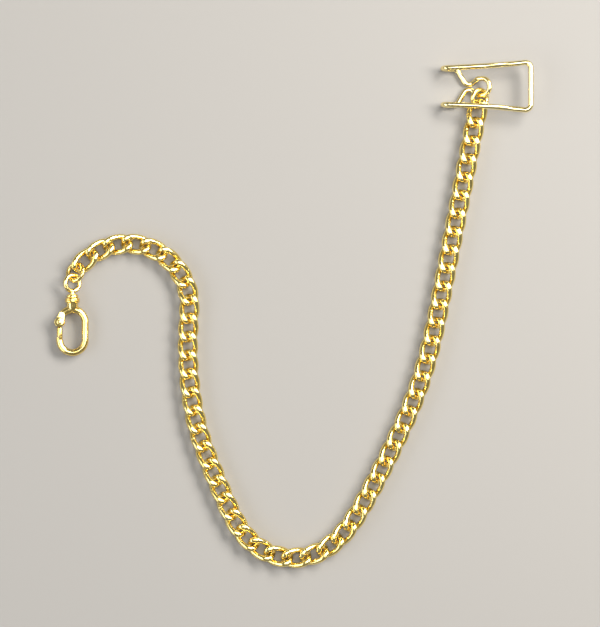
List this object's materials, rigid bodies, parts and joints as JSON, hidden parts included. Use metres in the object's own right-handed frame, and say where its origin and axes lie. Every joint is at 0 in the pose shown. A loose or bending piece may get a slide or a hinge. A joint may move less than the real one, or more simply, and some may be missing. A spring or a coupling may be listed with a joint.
{
  "type": "pocket watch chain",
  "caption": "Gold-coloured curb chain with a wire vest clip at one end and a swivel clasp at the other, laid flat in the swag it hangs in when worn.",
  "frame": {"origin": "middle of the laid-out chain's bounding box, on the surface that it lies on", "axes": "+X across the wearer's front from the watch end to the clip end, +Y up the wearer's front, +Z out of the cloth"},
  "size_m": [0.124, 0.1316, 0.0053],
  "materials": {
    "chain_gold": "gold plated brass, polished, bright lemon gold",
    "ring_gold": "gold plated brass wire, polished",
    "clip_gold": "gold plated spring wire, polished, pale gold",
    "clasp_gold": "gold plated brass, turned and polished",
    "spring_steel": "drawn spring wire"
  },
  "bodies": {
    "belt_clip": {"belt_clip": "clip_gold"},
    "clip_ring": {"clip_ring": "ring_gold"},
    "link_01": {"link_01": "chain_gold"},
    "link_02": {"link_02": "chain_gold"},
    "link_03": {"link_03": "chain_gold"},
    "link_04": {"link_04": "chain_gold"},
    "link_05": {"link_05": "chain_gold"},
    "link_06": {"link_06": "chain_gold"},
    "link_07": {"link_07": "chain_gold"},
    "link_08": {"link_08": "chain_gold"},
    "link_09": {"link_09": "chain_gold"},
    "link_10": {"link_10": "chain_gold"},
    "link_11": {"link_11": "chain_gold"},
    "link_12": {"link_12": "chain_gold"},
    "link_13": {"link_13": "chain_gold"},
    "link_14": {"link_14": "chain_gold"},
    "link_15": {"link_15": "chain_gold"},
    "link_16": {"link_16": "chain_gold"},
    "link_17": {"link_17": "chain_gold"},
    "link_18": {"link_18": "chain_gold"},
    "link_19": {"link_19": "chain_gold"},
    "link_20": {"link_20": "chain_gold"},
    "link_21": {"link_21": "chain_gold"},
    "link_22": {"link_22": "chain_gold"},
    "link_23": {"link_23": "chain_gold"},
    "link_24": {"link_24": "chain_gold"},
    "link_25": {"link_25": "chain_gold"},
    "link_26": {"link_26": "chain_gold"},
    "link_27": {"link_27": "chain_gold"},
    "link_28": {"link_28": "chain_gold"},
    "link_29": {"link_29": "chain_gold"},
    "link_30": {"link_30": "chain_gold"},
    "link_31": {"link_31": "chain_gold"},
    "link_32": {"link_32": "chain_gold"},
    "link_33": {"link_33": "chain_gold"},
    "link_34": {"link_34": "chain_gold"},
    "link_35": {"link_35": "chain_gold"},
    "link_36": {"link_36": "chain_gold"},
    "link_37": {"link_37": "chain_gold"},
    "link_38": {"link_38": "chain_gold"},
    "link_39": {"link_39": "chain_gold"},
    "link_40": {"link_40": "chain_gold"},
    "link_41": {"link_41": "chain_gold"},
    "link_42": {"link_42": "chain_gold"},
    "link_43": {"link_43": "chain_gold"},
    "link_44": {"link_44": "chain_gold"},
    "link_45": {"link_45": "chain_gold"},
    "link_46": {"link_46": "chain_gold"},
    "link_47": {"link_47": "chain_gold"},
    "link_48": {"link_48": "chain_gold"},
    "link_49": {"link_49": "chain_gold"},
    "link_50": {"link_50": "chain_gold"},
    "link_51": {"link_51": "chain_gold"},
    "link_52": {"link_52": "chain_gold"},
    "end_ring": {"end_ring": "ring_gold"},
    "swivel_eye": {"swivel_eye": "ring_gold"},
    "clasp_body": {"clasp_body": "clasp_gold", "clasp_pin": "ring_gold"},
    "clasp_gate": {"clasp_gate": "clasp_gold", "clasp_spring": "spring_steel"}
  },
  "joints": [
    {"name": "clip_ring_swing", "type": "hinge", "parent": "belt_clip", "child": "clip_ring", "pos_m": [0.04853, 0.05758, 0.0018], "axis": [0, 0, 1], "range_deg": [-4, 32]},
    {"name": "link_01_lift", "type": "hinge", "parent": "clip_ring", "child": "link_01", "pos_m": [0.04791, 0.0544, 0.00179], "axis": [0.9816, -0.1908, 0], "range_deg": [-12, 20]},
    {"name": "link_02_side", "type": "hinge", "parent": "link_01", "child": "link_02", "pos_m": [0.047, 0.04969, 0.00183], "axis": [0, 0, -1], "range_deg": [-22, 22]},
    {"name": "link_03_lift", "type": "hinge", "parent": "link_02", "child": "link_03", "pos_m": [0.04608, 0.04498, 0.00183], "axis": [-0.9816, 0.1908, 0], "range_deg": [-24, 24]},
    {"name": "link_04_side", "type": "hinge", "parent": "link_03", "child": "link_04", "pos_m": [0.04517, 0.04027, 0.00183], "axis": [0, 0, 1], "range_deg": [-22, 22]},
    {"name": "link_05_lift", "type": "hinge", "parent": "link_04", "child": "link_05", "pos_m": [0.04425, 0.03555, 0.00183], "axis": [0.9816, -0.1908, 0], "range_deg": [-24, 24]},
    {"name": "link_06_side", "type": "hinge", "parent": "link_05", "child": "link_06", "pos_m": [0.04334, 0.03084, 0.00183], "axis": [0, 0, -1], "range_deg": [-22, 22]},
    {"name": "link_07_lift", "type": "hinge", "parent": "link_06", "child": "link_07", "pos_m": [0.04242, 0.02613, 0.00183], "axis": [-0.9816, 0.1908, 0], "range_deg": [-24, 24]},
    {"name": "link_08_side", "type": "hinge", "parent": "link_07", "child": "link_08", "pos_m": [0.0415, 0.02142, 0.00183], "axis": [0, 0, 1], "range_deg": [-22, 22]},
    {"name": "link_09_lift", "type": "hinge", "parent": "link_08", "child": "link_09", "pos_m": [0.04059, 0.01671, 0.00183], "axis": [0.9816, -0.1908, 0], "range_deg": [-24, 24]},
    {"name": "link_10_side", "type": "hinge", "parent": "link_09", "child": "link_10", "pos_m": [0.03967, 0.012, 0.00183], "axis": [0, 0, -1], "range_deg": [-22, 22]},
    {"name": "link_11_lift", "type": "hinge", "parent": "link_10", "child": "link_11", "pos_m": [0.03876, 0.00728, 0.00183], "axis": [-0.9816, 0.1908, 0], "range_deg": [-24, 24]},
    {"name": "link_12_side", "type": "hinge", "parent": "link_11", "child": "link_12", "pos_m": [0.03784, 0.00257, 0.00183], "axis": [0, 0, 1], "range_deg": [-22, 22]},
    {"name": "link_13_lift", "type": "hinge", "parent": "link_12", "child": "link_13", "pos_m": [0.03692, -0.00214, 0.00183], "axis": [0.9781, -0.2079, 0], "range_deg": [-24, 24]},
    {"name": "link_14_side", "type": "hinge", "parent": "link_13", "child": "link_14", "pos_m": [0.03584, -0.00682, 0.00183], "axis": [0, 0, -1], "range_deg": [-23, 21]},
    {"name": "link_15_lift", "type": "hinge", "parent": "link_14", "child": "link_15", "pos_m": [0.03468, -0.01147, 0.00183], "axis": [-0.9648, 0.263, 0], "range_deg": [-24, 24]},
    {"name": "link_16_side", "type": "hinge", "parent": "link_15", "child": "link_16", "pos_m": [0.03332, -0.01608, 0.00183], "axis": [0, 0, 1], "range_deg": [-19.5, 24.5]},
    {"name": "link_17_lift", "type": "hinge", "parent": "link_16", "child": "link_17", "pos_m": [0.03176, -0.02062, 0.00183], "axis": [0.9382, -0.3461, 0], "range_deg": [-24, 24]},
    {"name": "link_18_side", "type": "hinge", "parent": "link_17", "child": "link_18", "pos_m": [0.03, -0.02508, 0.00183], "axis": [0, 0, -1], "range_deg": [-24.5, 19.5]},
    {"name": "link_19_lift", "type": "hinge", "parent": "link_18", "child": "link_19", "pos_m": [0.02805, -0.02947, 0.00183], "axis": [-0.91, 0.4147, 0], "range_deg": [-24, 24]},
    {"name": "link_20_side", "type": "hinge", "parent": "link_19", "child": "link_20", "pos_m": [0.02602, -0.03382, 0.00183], "axis": [0, 0, 1], "range_deg": [-21, 23]},
    {"name": "link_21_lift", "type": "hinge", "parent": "link_20", "child": "link_21", "pos_m": [0.02391, -0.03813, 0.00183], "axis": [0.8949, -0.4462, 0], "range_deg": [-24, 24]},
    {"name": "link_22_side", "type": "hinge", "parent": "link_21", "child": "link_22", "pos_m": [0.02173, -0.04241, 0.00183], "axis": [0, 0, -1], "range_deg": [-23, 21]},
    {"name": "link_23_lift", "type": "hinge", "parent": "link_22", "child": "link_23", "pos_m": [0.01948, -0.04665, 0.00183], "axis": [-0.8788, 0.4772, 0], "range_deg": [-24, 24]},
    {"name": "link_24_side", "type": "hinge", "parent": "link_23", "child": "link_24", "pos_m": [0.01715, -0.05084, 0.00183], "axis": [0, 0, 1], "range_deg": [-18, 26]},
    {"name": "link_25_lift", "type": "hinge", "parent": "link_24", "child": "link_25", "pos_m": [0.01454, -0.05487, 0.00183], "axis": [0.7986, -0.6018, 0], "range_deg": [-24, 24]},
    {"name": "link_26_side", "type": "hinge", "parent": "link_25", "child": "link_26", "pos_m": [0.01139, -0.05849, 0.00183], "axis": [0, 0, -1], "range_deg": [-34, 10]},
    {"name": "link_27_lift", "type": "hinge", "parent": "link_26", "child": "link_27", "pos_m": [0.00756, -0.06138, 0.00183], "axis": [-0.4772, 0.8788, 0], "range_deg": [-24, 24]},
    {"name": "link_28_side", "type": "hinge", "parent": "link_27", "child": "link_28", "pos_m": [0.00305, -0.06302, 0.00183], "axis": [0, 0, 1], "range_deg": [-5, 39]},
    {"name": "link_29_lift", "type": "hinge", "parent": "link_28", "child": "link_29", "pos_m": [-0.00175, -0.06327, 0.00183], "axis": [-0.0958, -0.9954, 0], "range_deg": [-24, 24]},
    {"name": "link_30_side", "type": "hinge", "parent": "link_29", "child": "link_30", "pos_m": [-0.0064, -0.06211, 0.00183], "axis": [0, 0, -1], "range_deg": [-39, 5]},
    {"name": "link_31_lift", "type": "hinge", "parent": "link_30", "child": "link_31", "pos_m": [-0.01052, -0.05964, 0.00183], "axis": [0.6361, 0.7716, 0], "range_deg": [-24, 24]},
    {"name": "link_32_side", "type": "hinge", "parent": "link_31", "child": "link_32", "pos_m": [-0.01373, -0.05607, 0.00183], "axis": [0, 0, 1], "range_deg": [-10, 34]},
    {"name": "link_33_lift", "type": "hinge", "parent": "link_32", "child": "link_33", "pos_m": [-0.01613, -0.05192, 0.00183], "axis": [-0.891, -0.454, 0], "range_deg": [-24, 24]},
    {"name": "link_34_side", "type": "hinge", "parent": "link_33", "child": "link_34", "pos_m": [-0.01808, -0.04753, 0.00183], "axis": [0, 0, -1], "range_deg": [-23, 21]},
    {"name": "link_35_lift", "type": "hinge", "parent": "link_34", "child": "link_35", "pos_m": [-0.01996, -0.04311, 0.00183], "axis": [0.9239, 0.3827, 0], "range_deg": [-24, 24]},
    {"name": "link_36_side", "type": "hinge", "parent": "link_35", "child": "link_36", "pos_m": [-0.02176, -0.03866, 0.00183], "axis": [0, 0, 1], "range_deg": [-21, 23]},
    {"name": "link_37_lift", "type": "hinge", "parent": "link_36", "child": "link_37", "pos_m": [-0.02348, -0.03418, 0.00183], "axis": [-0.9455, -0.3256, 0], "range_deg": [-24, 24]},
    {"name": "link_38_side", "type": "hinge", "parent": "link_37", "child": "link_38", "pos_m": [-0.02488, -0.02959, 0.00183], "axis": [0, 0, -1], "range_deg": [-26, 18]},
    {"name": "link_39_lift", "type": "hinge", "parent": "link_38", "child": "link_39", "pos_m": [-0.02596, -0.02491, 0.00183], "axis": [0.9816, 0.1908, 0], "range_deg": [-24, 24]},
    {"name": "link_40_side", "type": "hinge", "parent": "link_39", "child": "link_40", "pos_m": [-0.02671, -0.02017, 0.00183], "axis": [0, 0, 1], "range_deg": [-19, 25]},
    {"name": "link_41_lift", "type": "hinge", "parent": "link_40", "child": "link_41", "pos_m": [-0.02721, -0.0154, 0.00183], "axis": [-0.9969, -0.0785, 0], "range_deg": [-24, 24]},
    {"name": "link_42_side", "type": "hinge", "parent": "link_41", "child": "link_42", "pos_m": [-0.02746, -0.01061, 0.00183], "axis": [0, 0, -1], "range_deg": [-25, 19]},
    {"name": "link_43_lift", "type": "hinge", "parent": "link_42", "child": "link_43", "pos_m": [-0.02746, -0.00581, 0.00183], "axis": [0.9997, -0.0262, 0], "range_deg": [-24, 24]},
    {"name": "link_44_side", "type": "hinge", "parent": "link_43", "child": "link_44", "pos_m": [-0.02721, -0.00101, 0.00183], "axis": [0, 0, 1], "range_deg": [-22, 22]},
    {"name": "link_45_lift", "type": "hinge", "parent": "link_44", "child": "link_45", "pos_m": [-0.02696, 0.00378, 0.00183], "axis": [-0.9954, -0.0958, 0], "range_deg": [-24, 24]},
    {"name": "link_46_side", "type": "hinge", "parent": "link_45", "child": "link_46", "pos_m": [-0.02812, 0.00844, 0.00183], "axis": [0, 0, -1], "range_deg": [-5, 39]},
    {"name": "link_47_lift", "type": "hinge", "parent": "link_46", "child": "link_47", "pos_m": [-0.0306, 0.01255, 0.00183], "axis": [0.7716, 0.6361, 0], "range_deg": [-24, 24]},
    {"name": "link_48_side", "type": "hinge", "parent": "link_47", "child": "link_48", "pos_m": [-0.03416, 0.01576, 0.00183], "axis": [0, 0, 1], "range_deg": [-39, 5]},
    {"name": "link_49_lift", "type": "hinge", "parent": "link_48", "child": "link_49", "pos_m": [-0.03851, 0.01779, 0.00183], "axis": [-0.284, -0.9588, 0], "range_deg": [-24, 24]},
    {"name": "link_50_side", "type": "hinge", "parent": "link_49", "child": "link_50", "pos_m": [-0.04327, 0.01846, 0.00183], "axis": [0, 0, -1], "range_deg": [-5, 39]},
    {"name": "link_51_lift", "type": "hinge", "parent": "link_50", "child": "link_51", "pos_m": [-0.04801, 0.01771, 0.00183], "axis": [-0.3007, 0.9537, 0], "range_deg": [-24, 24]},
    {"name": "link_52_side", "type": "hinge", "parent": "link_51", "child": "link_52", "pos_m": [-0.05232, 0.01561, 0.00183], "axis": [0, 0, 1], "range_deg": [-39, 5]},
    {"name": "end_ring_lift", "type": "hinge", "parent": "link_52", "child": "end_ring", "pos_m": [-0.05583, 0.01233, 0.00179], "axis": [0.788, -0.6157, 0], "range_deg": [-18, 18]},
    {"name": "end_ring_side", "type": "hinge", "parent": "end_ring", "child": "swivel_eye", "pos_m": [-0.0574, 0.0095, 0.00182], "axis": [0, 0, 1], "range_deg": [-34, 2]},
    {"name": "clasp_swivel", "type": "hinge", "parent": "swivel_eye", "child": "clasp_body", "pos_m": [-0.0574, 0.00808, 0.0019], "axis": [0, -1, 0], "continuous": true},
    {"name": "clasp_gate_hinge", "type": "hinge", "parent": "clasp_body", "child": "clasp_gate", "pos_m": [-0.0607, -0.00202, 0.0019], "axis": [0, 0, 1], "range_deg": [0, 35], "stiffness_Nm_per_rad": 0.00001, "springref_deg": -17.19}
  ]
}
